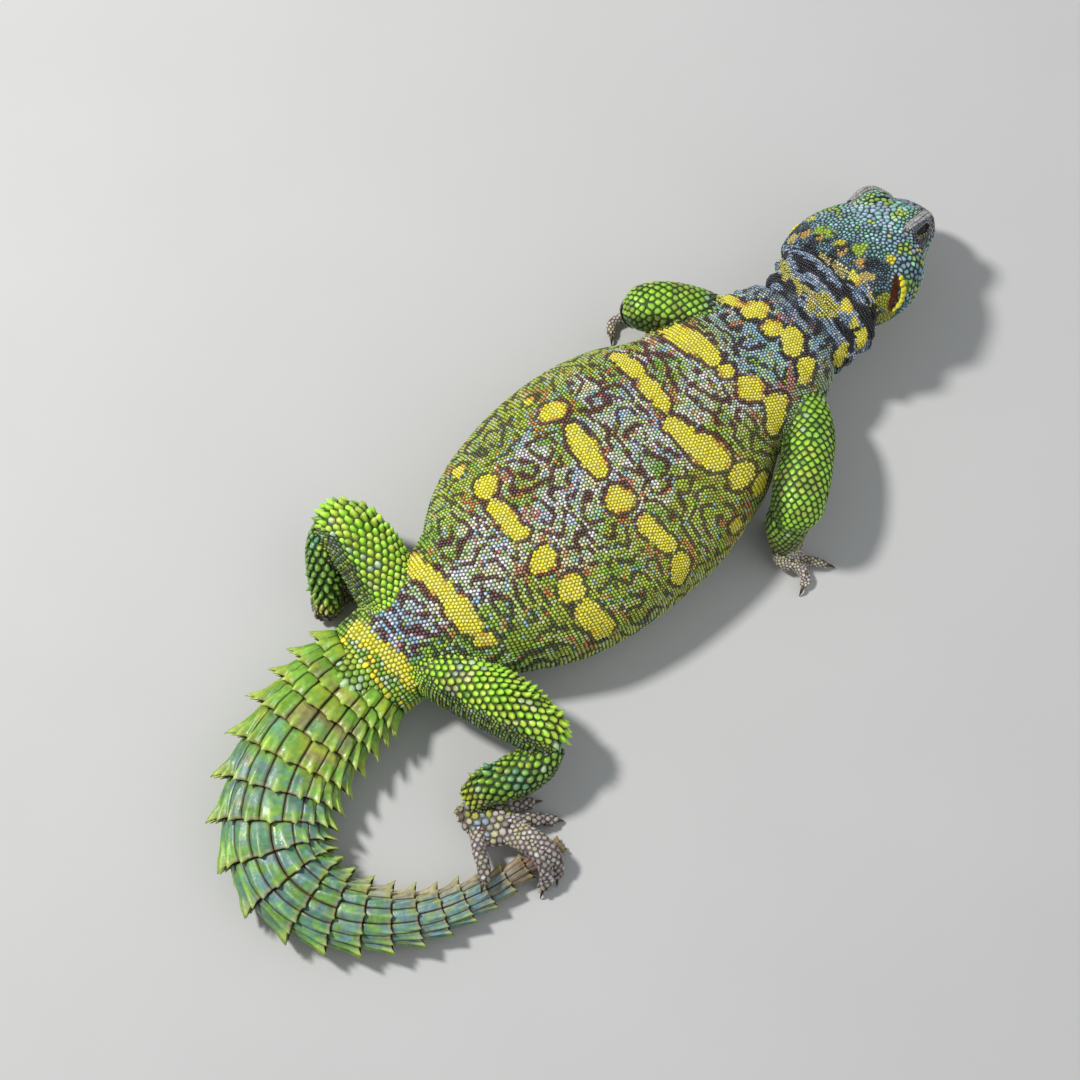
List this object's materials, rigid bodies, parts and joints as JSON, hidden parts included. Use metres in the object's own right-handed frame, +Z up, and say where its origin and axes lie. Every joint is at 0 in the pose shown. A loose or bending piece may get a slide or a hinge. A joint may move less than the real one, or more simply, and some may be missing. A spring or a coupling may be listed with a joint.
{
  "type": "spiny-tailed lizard",
  "caption": "Life-size spiny-tailed lizard resting on its belly, head turned down, legs drawn up and ringed tail curled round to its right.",
  "frame": {"origin": "centre of the flat under the belly, on the plane the animal rests on", "axes": "+X from the tail towards the head along the trunk, +Y to the animal's left, +Z up"},
  "size_m": [0.2459, 0.1076, 0.0357],
  "materials": {
    "body_skin": "satin beaded scales",
    "head_skin": "satin shields and beads",
    "tail_scales": "satin horn",
    "limb_skin": "satin keeled scales",
    "foot_skin": "dry granular scales",
    "eye": "wet gloss",
    "claw": "satin horn"
  },
  "bodies": {
    "root": {"head": "head_skin", "eye_left": "eye", "eye_right": "eye", "neck": "body_skin", "torso": "body_skin", "tail_1": "tail_scales", "tail_2": "tail_scales", "tail_3": "tail_scales", "tail_4": "tail_scales", "tail_5": "tail_scales", "tail_6": "tail_scales", "upper_arm_left": "limb_skin", "forearm_left": "limb_skin", "hand_left": "foot_skin", "upper_arm_right": "limb_skin", "forearm_right": "limb_skin", "hand_right": "foot_skin", "thigh_left": "limb_skin", "shank_left": "limb_skin", "foot_left": "foot_skin", "thigh_right": "limb_skin", "shank_right": "limb_skin", "foot_right": "foot_skin"}
  },
  "joints": []
}
